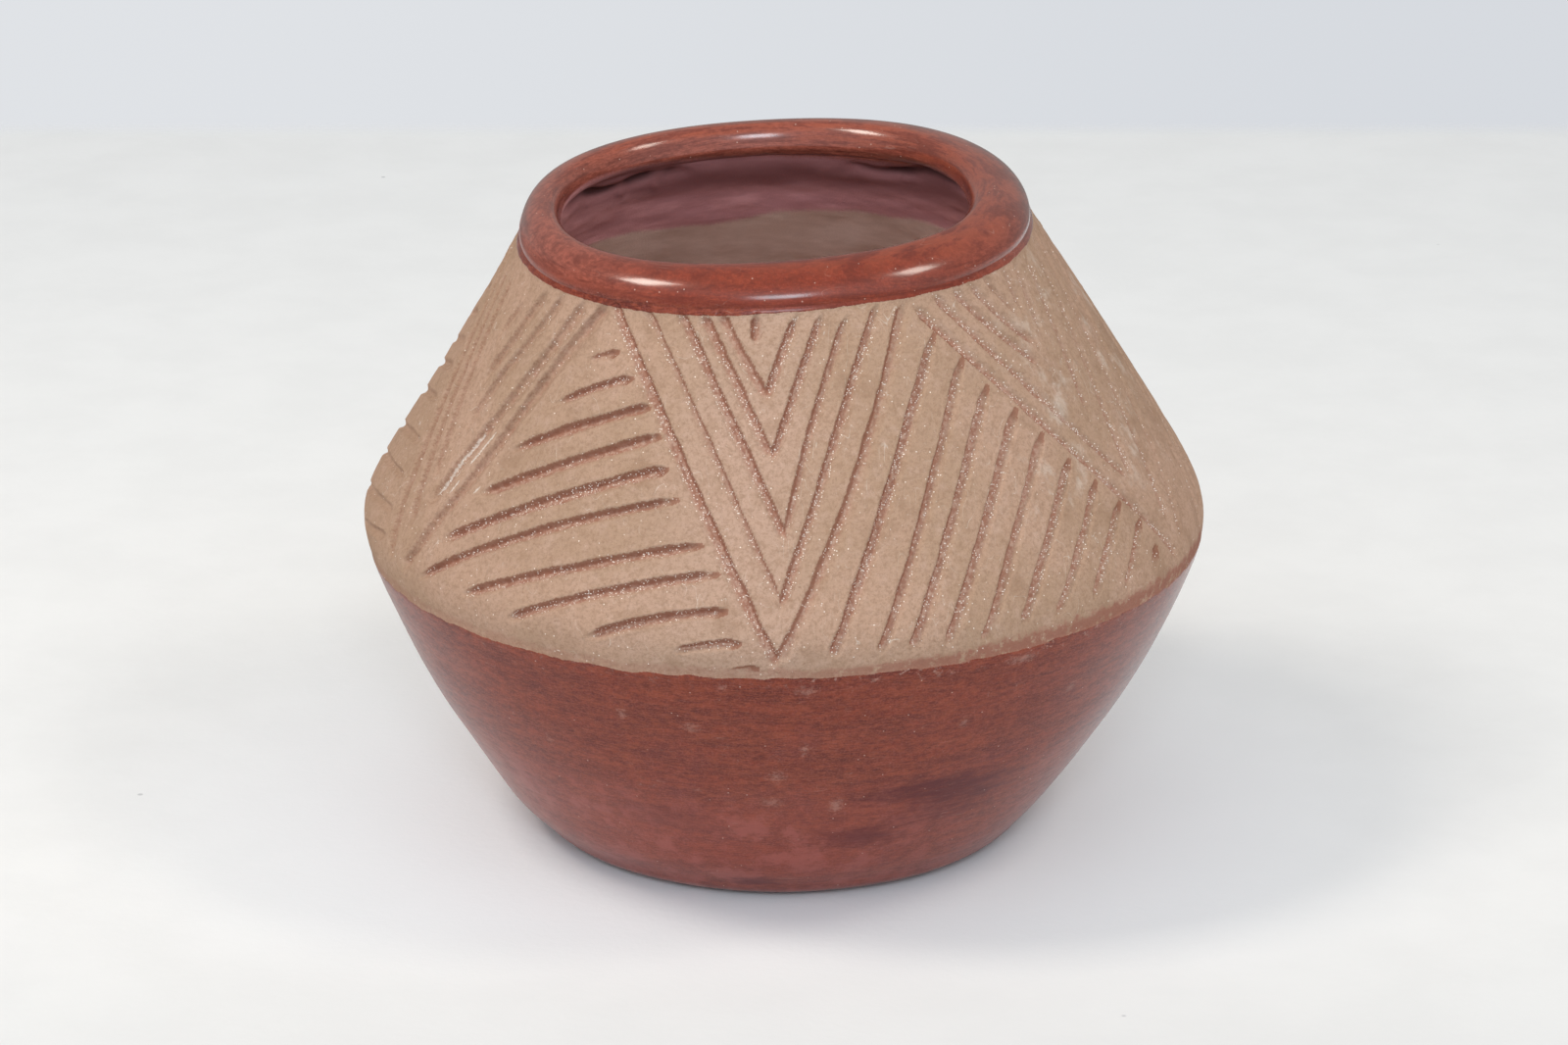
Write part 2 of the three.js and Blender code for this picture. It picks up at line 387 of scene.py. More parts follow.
def hatchedTriangle(centre, steep, rng):
    rows = []
    count = back["triangleStrokes"]
    half = back["triangleHalf"]
    for i in range(count):
        if steep:
            share = (i + 0.6) / (count + 0.6)
            top = (centre + 2.5 + (half - 3) * share, blend(76.5, 47, share))
            low = (centre + blend(-half * 0.75, half * 0.75, share), 43)
        else:
            share = (i + 0.5) / count
            top = (centre + 1 + (half - 4) * share, blend(75.5, 45.5, share))
            low = (top[0] - blend(6, half * 1.25, share**0.7), top[1] - blend(1.5, 13, share**0.8))
            low = (max(low[0], centre - half * share), max(low[1], 42.8))
        middle = (blend(top[0], low[0], 0.52), blend(top[1], low[1], 0.47) + 0.6)
        points = [(b + rng.uniform(-0.4, 0.4), h + rng.uniform(-0.3, 0.3)) for b, h in (top, middle, low)]
        size = (rng.uniform(0.9, 1.1), rng.uniform(0.7, 0.95))
        rows.append((points, *size, 2.5, 1.5, rng.uniform(0.2, 0.8)))
    return strokes(rows, back["triangleLean"])


backRng = np.random.default_rng(back["seed"])
backStrokes = []
for centre in back["arrowCentres"]:
    backStrokes += arrowhead(centre, backRng)
for centre, steep in back["triangles"]:
    backStrokes += hatchedTriangle(centre, steep, backRng)

allStrokes = frontStrokes + leftTriangleStrokes + rightTriangleStrokes + leftStrokes
allStrokes += rightStrokes + farLeftStrokes + backStrokes
print("strokes:", len(allStrokes))

# Where finishes meet.
edges = {
    "bowlSlipRise": 0.9,
    "rimSlip": 80.6,
    "slipStep": 0.12,
    "insideSlip": 70.6,
}


# Height at which the polished bowl ends and the bare band starts.
def bowlSlipLine(bearing):
    return slipLine - 0.1 + edges["bowlSlipRise"] * np.sin(bearing) - 0.15 * np.cos(3 * bearing)


def rimSlipLine(bearing):
    return edges["rimSlip"] + 0.12 * np.sin(2 * bearing + 1) + 0.1 * np.sin(5 * bearing)


# Height on the inside down to which the slip was wiped.
def insideSlipLine(bearing):
    wander = 0.9 * np.cos(2 * bearing) + 0.7 * np.sin(3 * bearing + 0.5) + 0.4 * np.sin(7 * bearing)
    return edges["insideSlip"] + wander


chalkStreaks = strokes([
    ((-58, 62, -60.3, 58, -62.2, 53), 0.26, 1, 0.8, 0.8, 0.5),
    ((-57.2, 61.5, -59.4, 57.5, -61, 54), 0.2, 0.7, 1.8, 1.8, 0.5),
    ((-54.2, 62.8, -55.6, 60.5, -57.1, 58), 0.26, 0.9, 0.8, 0.8, 0.5),
    ((-57.6, 56.2, -58, 55.2, -58.5, 54.2), 0.3, 0.7, 0.8, 0.5, 0.5),
    ((-52.2, 56.5, -52.7, 55.9, -53.2, 55.3), 0.3, 0.7, 0.5, 0.5, 0.5),
], lean=0)

# How far the skin moves out of the turned shape, and where its largest humps are.
skin = {
    "waves": 0.1,
    "scraping": 0.04,
    "belly": 0.45,
    "bellyHeight": 23,
    "underLip": 0.25,
    "heel": 1,
    "heelLessRight": 0.5,
    "heelHeight": 1.8,
    "corner": 1,
    "cornerBearing": 56,
    "throat": 1.1,
    "throatHeight": 79.8,
    "wipes": 0.22,
    "dimples": 0.3,
    "lumps": 0.2,
    "crease": 1.3,
    "creaseHeight": 79.6,
    "carvedFrom": 38,
}

# What the points carry for the materials.
pointMarks = ("carved", "steep", "mica", "chalk", "bare", "raw", "crease", "inside")


# How far each point of a ring moves along its normal and level out, and what it carries.
def relief(bearing, z, radius, side):
    spots = np.column_stack((radius * np.sin(bearing), -radius * np.cos(bearing), z))
    outside = side == 0
    inside = side == 2
    move = np.zeros(len(z))
    marks = {key: np.zeros(len(z)) for key in pointMarks}
    aboveBowl = z - bowlSlipLine(bearing) + 0.2 * cloud(spots, 1.3, 5) + 0.14 * cloud(spots, 5, 6)
    belowRim = rimSlipLine(bearing) - z + 0.08 * cloud(spots, 1.2, 7) + 0.08 * cloud(spots, 4, 8)
    bare = np.where(inside, -1, np.minimum(aboveBowl, belowRim))
    carveable = outside & (z > skin["carvedFrom"]) & (z < neckHeight + 0.01)
    if carveable.any():
        found = np.flatnonzero(carveable)
        deep, flecks, shaded, tone = carvedDepth(bearing[found], z[found], allStrokes)
        shallow = smooth(0, 0.5, z[found] - 40) * smooth(0, 0.3, neckHeight - z[found])
        deep = deep * shallow
        move[found] -= deep
        marks["carved"][found] = np.clip(deep / carving["depth"] * tone, 0, 1)
        marks["mica"][found] = flecks
        marks["steep"][found] = shaded * shallow * tone
        streaks = carvedDepth(bearing[found], z[found], chalkStreaks)[0]
        marks["chalk"][found] = np.clip(streaks / carving["depth"] * 1.6, 0, 1)
    waves = skin["waves"] * cloud(spots, 13, 1) + 0.05 * cloud(spots * (0.4, 0.4, 1), 4, 2)
    waves = waves * smooth(0, 1.5, z)
    scraped = skin["scraping"] * cloud(spots * (0.5, 0.5, 1), 2.2, 3) + 0.025 * cloud(spots, 1, 4)
    fade = smooth(-0.1, 0.35, bare)
    fuller = skin["belly"] * np.sin(bearing) ** 2 * hump(z, skin["bellyHeight"], 9)
    move = move + np.where(outside, waves + fuller + scraped * fade - edges["slipStep"] * fade, 0)
    # A little slip and clay fills the corner under the lip.
    push = skin["underLip"] * hump(z, neckHeight, 1.3) * outside * (0.8 + 0.25 * cloud(spots, 5, 9))
    # The heel is rounder than turned, most of all at the left.
    heel = outside * smooth(20, 27, radius) * hump(z, skin["heelHeight"], 3)
    push = push - heel * (skin["heel"] - skin["heelLessRight"] * np.sin(bearing))
    # The opening is squarest at the front right, and at the back the lip runs down into the neck.
    degrees = np.degrees(bearing)
    away = np.abs(degrees)
    throat = np.where(inside, 1, smooth(30, 27, radius)) * smooth(70, 74, z)
    corner = hump(degrees, skin["cornerBearing"], 32) * smooth(77, 81, z)
    filled = smooth(120, 158, away) * hump(z, skin["throatHeight"], 2.8)
    push = push + throat * (skin["corner"] * corner - skin["throat"] * filled)
    # The inside is pressed with the fingers and wiped round, with a crease left under the lip.
    wipes = skin["wipes"] * cloud(spots * (0.25, 0.25, 1), 3, 11)
    wipes = wipes + 0.12 * cloud(spots * (0.3, 0.3, 1), 1.2, 12)
    dimples = skin["dimples"] * cloud(spots, 11, 13)
    creaseHeight = skin["creaseHeight"] + 0.9 * cloud(spots, 4, 14)
    strength = smooth(165, 145, away) * np.clip(0.85 + 0.6 * cloud(spots, 2.5, 15), 0, 1)
    crease = strength * hump(z, creaseHeight, 0.9)
    lumps = smooth(0.25, 0.8, cloud(spots, 1.4, 17)) * hump(z, creaseHeight - 1.2, 1)
    lumps = lumps * smooth(160, 145, away)
    move = move + np.where(inside & (z < neckHeight + 0.5), -(wipes + dimples) * smooth(6, 12, z), 0)
    move = move + np.where(inside, skin["lumps"] * lumps - skin["crease"] * crease, 0)
    marks["bare"] = bare
    marks["raw"] = insideSlipLine(bearing) - z + 0.5 * cloud(spots * (0.6, 0.6, 1), 3, 16)
    marks["crease"] = crease * inside
    marks["inside"][inside] = 1
    return move, push, marks


# Steps of a turn, columns in each, and rows on each side of the section.
detail = {
    "turns": 60,
    "columnsPerTurn": 24,
    "slabColumns": 16,
    "neckColumns": 18,
    "bowlRows": 26,
    "shoulderRows": 54,
    "insideRows": 9,
    "neckInsideRows": 30,
    "jointRows": 3,
    "slabRows": 14,
    "slabInsideRows": 10,
    "floorRows": 12,
    "lipRows": 30,
    "rollRows": 16,
    "throatRows": 10,
}


# What each point of a ring keeps until it is finished.
turnedMarks = ("radius", "side", "row", "outR", "outZ")


# A ring is turned from its section. Each side of it is a curve from a share to radius and height, its
# number of rows, and whether it is outside (0), a joint face (1) or inside (2).
def turnedRing(name, sides, closed=True, columns=detail["columnsPerTurn"]):
    bm = bmesh.new()
    layers = {key: bm.verts.layers.float.new(key) for key in turnedMarks}
    points = []
    near = 1e-3
    for curve, rows, side in sides:
        for row in range(rows):
            share = row / rows
            low = np.array(curve(max(share - near, 0)), float)
            high = np.array(curve(min(share + near, 1)), float)
            tangent = (high - low) / np.hypot(*(high - low))
            points.append((*np.array(curve(share), float), side, tangent[1], -tangent[0], row == 0))
    if not closed:
        curve, rows, side = sides[-1]
        points.append((*np.array(curve(1), float), side, 0, 1, True))
    previousSide = sides[-1][2]
    for index, (radius, height, side, outR, outZ, corner) in enumerate(points):
        if index:
            tip = bmesh.ops.extrude_vert_indiv(bm, verts=[tip])["verts"][0]
        else:
            tip = first = bm.verts.new((0, 0, 0))
        tip.co = (0, -radius, height)
        # A corner between a skin and a joint face moves with the skin.
        if corner and side == 1 and previousSide != 1:
            side = previousSide
            outR, outZ = points[index - 1][3:5]
        for key, value in zip(turnedMarks, (radius, side, index, outR, outZ)):
            tip[layers[key]] = value
        previousSide = points[index][2]
    if closed:
        bm.edges.new((tip, first))
    profile = bm.verts[:] + bm.edges[:]
    bmesh.ops.spin(bm, geom=profile, cent=(0, 0, 0), axis=(0, 0, 1), angle=2 * math.pi,
                   steps=detail["turns"], use_merge=True)
    around = [e for e in bm.edges if len({v[layers["row"]] for v in e.verts}) == 1]
    around = [e for e in around if e.calc_length() > 1e-6]
    bmesh.ops.subdivide_edges(bm, edges=around, cuts=columns - 1, use_grid_fill=True)
    bmesh.ops.remove_doubles(bm, verts=bm.verts, dist=1e-5)
    bmesh.ops.recalc_face_normals(bm, faces=bm.faces)
    mesh = bpy.data.meshes.new(name)
    bm.to_mesh(mesh)
    bm.free()
    return finishRing(name, mesh, sides)


def readFloats(mesh, name):
    values = np.zeros(len(mesh.vertices), np.float32)
    mesh.attributes[name].data.foreach_get("value", values)
    return values.astype(float)


def finishRing(name, mesh, sides):
    count = len(mesh.vertices)
    flat = np.zeros(count * 3, np.float32)
    mesh.vertices.foreach_get("co", flat)
    x, y, z = flat.astype(float).reshape(-1, 3).T
    radius, side, row, outR, outZ = (readFloats(mesh, key) for key in turnedMarks)
    bearing = np.arctan2(x, -y)
    move, push, marks = relief(bearing, z, radius, np.round(side))
    # Where two rings meet under the lip both move level, so that they stay together.
    level = hump(z, neckHeight, 0.6)
    outR = blend(outR, np.sign(outR), level)
    outZ = outZ * (1 - level)
    radius = radius + move * outR + push
    z = z + move * outZ
    points = np.column_stack((radius * np.sin(bearing), -radius * np.cos(bearing), z))
    points = unevenByHand(points) * millimetre
    mesh.vertices.foreach_set("co", points.astype(np.float32).ravel())
    # The rims of the joint faces stay crisp.
    starts = np.cumsum([0] + [rows for _, rows, _ in sides])[:-1]
    kinds = [kind for _, _, kind in sides]
    crisp = [start for i, start in enumerate(starts) if kinds[i] == 1 or kinds[i - 1] == 1]
    ends = np.zeros(len(mesh.edges) * 2, np.int32)
    mesh.edges.foreach_get("vertices", ends)
    ends = ends.reshape(-1, 2)
    row = np.round(row)
    sharp = (row[ends[:, 0]] == row[ends[:, 1]]) & np.isin(row[ends[:, 0]], crisp)
    mesh.shade_smooth()
    mesh.attributes.new("sharp_edge", "BOOLEAN", "EDGE").data.foreach_set("value", sharp)
    for key in turnedMarks:
        mesh.attributes.remove(mesh.attributes[key])
    for key in pointMarks:
        values = marks[key].astype(np.float32)
        mesh.attributes.new(key, "FLOAT", "POINT").data.foreach_set("value", values)
    mesh.update()
    piece = bpy.data.objects.new(name, mesh)
    bpy.context.scene.collection.objects.link(piece)
    print(name, "vertices", count, "faces", len(mesh.polygons))
    return piece


def line(start, end):
    return lambda share: (blend(start[0], end[0], share), blend(start[1], end[1], share))


def spot(radiusAt, z):
    return float(radiusAt(z)), z


def wall(radiusAt, start, end):
    return lambda share: spot(radiusAt, blend(start, end, share))


def bezier(*controls):
    weights = [math.comb(len(controls) - 1, i) for i in range(len(controls))]

    def curve(share):
        order = len(controls) - 1
        parts = [w * share**i * (1 - share) ** (order - i) for i, w in enumerate(weights)]
        return tuple(sum(p * c[axis] for p, c in zip(parts, controls)) for axis in (0, 1))

    return curve


def coil(name, low, high, outsideRows, insideRows, columns):
    sides = [
        (wall(outerRadius, low, high), outsideRows, 0),
        (line(spot(outerRadius, high), spot(innerRadius, high)), detail["jointRows"], 1),
        (wall(innerRadius, high, low), insideRows, 2),
        (line(spot(innerRadius, low), spot(outerRadius, low)), detail["jointRows"], 1),
    ]
    return turnedRing(name, sides, columns=columns)


def slab():
    heel = pot["heelHeight"]
    floor = pot["floorThickness"]
    foot = (pot["footRadius"], 0)
    inFloor = math.sqrt(pot["slabRim"] / pot["floorRise"])

    def inside(share):
        return spot(innerRadius, floor + pot["floorRise"] * (inFloor * (1 - share)) ** 2)

    rows = detail["slabRows"]
    sides = [
        (line((0, 0), foot), rows, 0),
        (bezier(foot, (pot["heelRadius"], 0), spot(wallRadius, heel)), rows, 0),
        (wall(outerRadius, heel, slabTop), rows, 0),
        (line(spot(outerRadius, slabTop), spot(innerRadius, slabTop)), detail["jointRows"], 1),
        (inside, detail["slabInsideRows"], 2),
        (line((pot["floorFlatRadius"], floor), (0, floor)), detail["floorRows"], 2),
    ]
    return turnedRing("base_slab_clay", sides, closed=False, columns=detail["slabColumns"])


def rolledLip():
    seat = spot(outerRadius, neckHeight)
    seatInside = spot(innerRadius, neckHeight)
    crest = (seat[0] - lip["crestInset"], pot["height"])
    mouth = (seat[0] - lip["mouthInset"], pot["height"] - lip["mouthDrop"])
    bulge = (seat[0] + lip["stand"], neckHeight + lip["height"] * 0.4)
    shoulder = (blend(crest[0], seat[0], lip["fullness"]), pot["height"])
    overCrest = (blend(crest[0], mouth[0], 0.6), pot["height"])
    intoMouth = (mouth[0], blend(mouth[1], pot["height"], 0.6))
    downMouth = (mouth[0], (mouth[1] + neckHeight) / 2)
    sides = [
        (bezier(seat, bulge, shoulder, crest), detail["lipRows"], 0),
        (bezier(crest, overCrest, intoMouth, mouth), detail["rollRows"], 0),
        (bezier(mouth, downMouth, seatInside), detail["throatRows"], 2),
        (line(seatInside, seat), detail["jointRows"], 1),
    ]
    return turnedRing("lip_coil_clay", sides)


pieces = {"base_slab": slab()}
for count, low, high, name, outsideRows in (
    (pot["bowlCoils"], slabTop, slipLine, "bowl_coil", detail["bowlRows"]),
    (pot["shoulderCoils"], slipLine, neckHeight, "shoulder_coil", detail["shoulderRows"]),
):
    for i in range(count):
        bottom = blend(low, high, i / count)
        top = blend(low, high, (i + 1) / count)
        insideRows, columns = detail["insideRows"], detail["columnsPerTurn"]
        # The ring under the lip is smaller round, and its inside shows.
        if i == count - 1 and high == neckHeight:
            insideRows, columns = detail["neckInsideRows"], detail["neckColumns"]
        ring = coil(f"{name}_{i + 1}_clay", bottom, top, outsideRows, insideRows, columns)
        pieces[f"{name}_{i + 1}"] = ring
pieces["lip_coil"] = rolledLip()
print("rings made")


# Wraps one socket, so that shader maths is written as sums. Its add method makes any other node.
class Wire:
    def __init__(self, tree, socket=None):
        self.tree = tree
        self.socket = socket

    def add(self, kind, settings=None, inputs=None, output=0):
        node = self.tree.nodes.new("ShaderNode" + kind)
        for name, value in (settings or {}).items():
            setattr(node, name, value)
        for name, value in (inputs or {}).items():
            if isinstance(value, Wire):
                self.tree.links.new(value.socket, node.inputs[name])
            else:
                node.inputs[name].default_value = value
        return Wire(self.tree, node.outputs[output] if len(node.outputs) else None)

    def __add__(self, other):
        return maths("ADD", self, other)

    def __sub__(self, other):
        return maths("SUBTRACT", self, other)

    def __rsub__(self, other):
        return maths("SUBTRACT", other, self)

    def __mul__(self, other):
        return maths("MULTIPLY", self, other)

    def __truediv__(self, other):
        return maths("DIVIDE", self, other)

    def __neg__(self):
        return maths("MULTIPLY", self, -1)

    __radd__ = __add__
    __rmul__ = __mul__


def maths(operation, *values):
    wire = next(value for value in values if isinstance(value, Wire))
    return wire.add("Math", {"operation": operation}, dict(enumerate(values)))


def vector(operation, *values, output=0):
    return values[0].add("VectorMath", {"operation": operation}, dict(enumerate(values)), output)


def resized(place, factor):
    return place.add("VectorMath", {"operation": "SCALE"}, {0: place, "Scale": factor})


# How far a place is from a centre, with each axis stretched by its own factor first.
def distance(place, centre, stretch):
    return vector("LENGTH", vector("MULTIPLY", vector("SUBTRACT", place, centre), stretch), output=1)


def split(place):
    return [place.add("SeparateXYZ", inputs={0: place}, output=i) for i in range(3)]


def channel(colour, index):
    return colour.add("SeparateColor", inputs={0: colour}, output=index)


def noise(place, scale, detail, roughness, distortion=0):
    sockets = {"Vector": place, "Scale": scale, "Detail": detail, "Roughness": roughness}
    return place.add("TexNoise", inputs={**sockets, "Distortion": distortion}, output="Fac")


# Cells round scattered points: how far the nearest point is, and its cell's random colour.
def cells(place, scale):
    sockets = {"Vector": place, "Scale": scale}
    return [place.add("TexVoronoi", inputs=sockets, output=name) for name in ("Distance", "Color")]


# 0 at low and before it, 1 at high and past it, smooth between. High may be the smaller of the two.
def ramp(value, low, high):
    sockets = {"Value": value, "From Min": low, "From Max": high}
    return value.add("MapRange", {"interpolation_type": "SMOOTHSTEP"}, sockets)


def tint(factor, a, b):
    pick = lambda c: c if isinstance(c, Wire) else (*c, 1)
    return factor.add("Mix", {"data_type": "RGBA"}, {"Factor": factor, 6: pick(a), 7: pick(b)}, output=2)


def choose(factor, a, b):
    return factor.add("Mix", {"data_type": "FLOAT"}, {"Factor": factor, 2: a, 3: b}, output=0)


# Empties a material's or the world's node tree.
def cleared(owner):
    owner.use_nodes = True
    owner.node_tree.nodes.clear()
    return Wire(owner.node_tree)


# Places drawn out round the pot for streaks: by how much, and a shift that sets one apart.
drawnOut = {
    "streaked": (0.18, 0),
    "stroked": (0.45, 0),
    "setApart": (0.3, 40),
    "farStreaked": (0.1, 0),
}

# Noises at each place: scale per millimetre, detail, roughness, and distortion if any.
noises = {
    "plain": {
        "fine": (4, 3, 0.6), "grain": (9, 2, 0.7), "flecked": (1.8, 3, 0.8),
        "patch": (0.11, 2, 0.5), "smudges": (0.45, 4, 0.7), "blush": (0.25, 4, 0.65),
        "rubbedPatch": (0.55, 4, 0.7), "scratchPatch": (0.3, 2, 0.5), "chips": (0.9, 4, 0.7),
        "clayPatch": (0.07, 3, 0.55), "mottle": (0.6, 4, 0.65), "spots": (1.4, 4, 0.75),
        "dots": (2.6, 2, 0.7), "stains": (0.16, 4, 0.65), "hairlinePatch": (0.25, 2, 0.5),
        "deepPatch": (1.6, 3, 0.7), "edge": (0.7, 3, 0.7), "washPatch": (0.8, 3, 0.7),
        "pits": (1.4, 4, 0.7), "grooveGrain": (2.2, 3, 0.7),
    },
    "streaked": {
        "broad": (0.13, 3, 0.6), "bands": (0.36, 4, 0.65), "hair": (5, 2, 0.7),
        "rubbedStreak": (2.2, 3, 0.7), "scratches": (0.8, 1, 0.5, 0.3), "polish": (1.1, 3, 0.6),
        "scrapes": (1.8, 2, 0.6), "wiped": (0.7, 4, 0.65),
    },
    "stroked": {"strokes": (1.3, 4, 0.7)},
    "setApart": {"rubs": (0.9, 4, 0.75)},
    "farStreaked": {"long": (1.5, 4, 0.7)},
    "flattened": {"haze": (0.22, 5, 0.7)},
    "slanted": {"hairlines": (0.45, 1, 0.5, 0.5)},
}

# Stone-polished red slip. A layer has a mask, or a field and where it starts and is full, strength, tint.
slip = {
    "dark": (0.098, 0.018, 0.012),
    "red": (0.205, 0.036, 0.018),
    "orange": (0.28, 0.062, 0.029),
    "lip": (0.262, 0.042, 0.019),
    # A paler red, painted on the back and the sides of the lip as a painted sheen.
    "lipBack": (0.37, 0.115, 0.08),
    "purple": (0.165, 0.036, 0.034),
    "pink": (0.3, 0.082, 0.064),
    "maroon": (0.085, 0.012, 0.013),
    "scuff": (0.5, 0.33, 0.27),
    "roughness": 0.34,
    "coat": 0.34,
    "coatMoreRight": 0.3,
    "lipCoat": 1,
    "layers": (
        ("broad", 0.48, 0.7, 0.5, "orange"), ("patch", 0.52, 0.75, 0.6, "purple"),
        ("strokes", 0.46, 0.58, 0.5, "dark"), ("flecked", 0.46, 0.58, 0.4, "dark"),
        ("rubs", 0.5, 0.6, 0.4, "orange"), ("rubs", 0.47, 0.38, 0.35, "dark"),
        ("smudges", 0.48, 0.62, 0.35, "dark"), ("hair", 0.48, 0.6, 0.55, "orange"),
        ("fine", 0.5, 0.6, 0.35, "pink"),
    ),
    # The lip is darker red, with a painted sheen at its back and sides, and dark streaks.
    "lipLayers": (
        ("all", 0.55, "lip"), ("y", 5, 25, 0.6, "lipBack"), ("x", -10, -32, 0.6, "lipBack"),
        ("x", 14, 32, 0.4, "lipBack"), ("hair", 0.46, 0.58, 0.4, "dark"),
        ("flecked", 0.46, 0.56, 0.2, "dark"), ("long", 0.44, 0.6, 0.5, "dark"),
        ("crest", 0.5, "orange"),
    ),
    # Dark smears low down: place, stretch, strength.
    "blots": (
        ((10, -38.9, 12), (0.15, 0.15, 0.42), 0.75),
        ((-3.6, -34.2, 3.5), (0.24, 0.24, 0.7), 0.7),
        ((20.5, -39, 17.5), (0.085, 0.085, 0.2), 0.85),
        ((-15.5, -38.5, 15), (0.12, 0.12, 0.35), 0.25),
    ),
    # Pale scuffs: bearing, height, how wide and how high, strength.
    "scuffs": (
        (-23, 32, 0.9, 1.4, 0.27), (-13, 31, 1.3, 1, 0.21), (3, 28, 0.8, 1.6, 0.3),
        (-1, 23.5, 1.5, 1.3, 0.24), (-2, 19, 1.8, 1.2, 0.18), (8.5, 18, 1.3, 2.2, 0.27),
        (26.5, 30, 0.9, 1.5, 0.24), (3, 37.5, 2.2, 0.8, 0.27), (-8, 38, 0.8, 0.8, 0.24),
        (33, 38.5, 3, 0.9, 0.3), (-38, 25, 0.8, 1.5, 0.18), (45, 31, 1.2, 1.5, 0.18),
    ),
    "specks": {"scale": 1.3, "size": 0.16, "share": 0.055},
}

# Bare clay with mica in it.
clay = {
    "tan": (0.45, 0.288, 0.205),
    "pink": (0.51, 0.345, 0.272),
    "olive": (0.405, 0.263, 0.18),
    # Groove colours: carved is partly the cut clay's redder tone and partly painted shade, and shaded is
    # painted shade on the steep walls.
    "carved": (0.33, 0.142, 0.095),
    "carvedPale": (0.52, 0.33, 0.255),
    "shaded": (0.22, 0.075, 0.044),
    "stain": (0.29, 0.175, 0.112),
    "wash": (0.28, 0.11, 0.078),
    # The plates' pale colour, partly the mica's own and partly a painted glint.
    "mica": (0.92, 0.83, 0.74),
    "chalk": (0.8, 0.75, 0.68),
    "roughness": 0.82,
    "layers": (
        ("facing", 0.35, "pink"), ("mottle", 0.45, 0.75, 0.45, "pink"),
        ("spots", 0.46, 0.64, 0.5, "stain"), ("dots", 0.5, 0.66, 0.45, "stain"),
        ("grain", 0.45, 0.75, 0.3, "stain"), ("stained", 0.5, "stain"), ("hazy", 0.25, "chalk"),
        ("hairline", 0.35, "chalk"), ("core", 0.75, "groove"), ("shade", 0.66, "shaded"),
        ("chalky", 0.5, "chalk"), ("washed", 0.8, "wash"), ("plate", 0.9, "mica"),
    ),
    "washWidth": 1.6,
    "washWiderRight": 0.9,
    "plates": {"scale": 4.6, "size": 0.42, "share": 0.006, "inGrooves": 0.36, "turn": 0.9},
    "plateRoughness": 0.25,
}

# The inside, with the wiped slip over raw clay.
inner = {
    "slip": (0.64, 0.3, 0.3),
    "slipDark": (0.52, 0.235, 0.24),
    # A dark red, painted as shade on the inside at the back just under the lip.
    "underLip": (0.2, 0.075, 0.075),
    "raw": (0.72, 0.51, 0.425),
    "rawDark": (0.6, 0.4, 0.32),
    "shadow": (0.05, 0.02, 0.02),
    "roughness": 0.62,
    "rawRougher": 0.2,
    "layers": (
        ("isRaw", 1, "rawWiped"), ("underBack", 0.75, "underLip"), ("x", -2, -24, 0.12, "shadow"),
        ("crease", 0.3, 0.9, 0.85, "shadow"),
    ),
}


def layered(colour, at, palette, layers, share=1):
    for field, *ends, strength, name in layers:
        mask = ramp(at[field], *ends) if ends else at[field]
        colour = tint(mask * share * strength, colour, palette[name])
    return colour


# The slip's colour, roughness, height and wear. Fields are read from `at` by name.
def slipFinish(at):
    x, z, plain, strokes = (at[key] for key in ("x", "z", "plain", "strokes"))
    colour = tint(0.22 + 0.78 * ramp(at["bands"], 0.37, 0.61), slip["dark"], slip["red"])
    colour = layered(colour, at, slip, slip["layers"])
    onLip = ramp(z, 79.5, 81)
    masks = {"all": 1, "crest": ramp(z, 83, 85.5) * ramp(at["long"], 0.56, 0.4)}
    colour = layered(colour, {**at, **masks}, slip, slip["lipLayers"], onLip)
    # Painted reflection: low on the bowl the slip is tinted a paler pink, as the white table would show in
    # it, less so at the right.
    low = ramp(z, 24, 12) * (1 - 0.6 * ramp(x, 6, 24))
    colour = tint(low * (0.25 + 0.6 * ramp(at["blush"], 0.44, 0.64)), colour, slip["pink"])
    for centre, stretch, strength in slip["blots"]:
        gap = distance(plain, centre, stretch) + (at["bands"] - 0.5) * 2.4 + (strokes - 0.5) * 2
        colour = tint(ramp(gap, 1.2, 0.1) * strength, colour, slip["maroon"])
    for degrees, height, wide, high, strength in slip["scuffs"]:
        turn = math.radians(degrees)
        out = float(outerRadius(height))
        centre = (out * math.sin(turn), -out * math.cos(turn), height)
        gap = distance(plain, centre, (1 / wide, 1 / wide, 1 / high))
        gap = gap + (strokes - 0.5) * 2 + (at["flecked"] - 0.5) * 3
        colour = tint(ramp(gap, 1, -0.2) * strength, colour, slip["scuff"])
    # Pale specks, rubbed places, scratches, and chips along the slip's upper edge.
    settings = slip["specks"]
    speckGap, speckDraw = cells(plain, settings["scale"])
    chance = channel(speckDraw, 0) + onLip * 0.05 + settings["share"]
    specks = ramp(settings["size"] - speckGap, 0, 0.08) * ramp(chance, 1, 1.015)
    rubbed = ramp(at["rubbedPatch"], 0.6, 0.72) * ramp(z, 30, 38.5) * ramp(z, 70, 60)
    rubbed = rubbed * ramp(at["rubbedStreak"], 0.5, 0.65)
    scratch = ramp(maths("ABSOLUTE", at["scratches"] - 0.5), 0.006, 0) * ramp(at["scratchPatch"], 0.5, 0.65)
    nearEdge = ramp(at["bare"], -2.2, -0.1) * ramp(z, 48, 44)
    chips = ramp(at["chips"], 0.56, 0.66) * nearEdge * (0.3 + 0.7 * ramp(x, -10, 12))
    wear = maths("MINIMUM", specks + rubbed * 0.4 + scratch * 0.2 + chips * 0.5, 0.85)
    colour = tint(wear, colour, slip["scuff"])
    rough = slip["roughness"] + 0.2 * (strokes - 0.5) + 0.35 * wear
    height = 0.035 * at["polish"] + 0.006 * at["hair"] + 0.012 * at["flecked"] - 0.015 * wear
    return colour, rough, height, wear


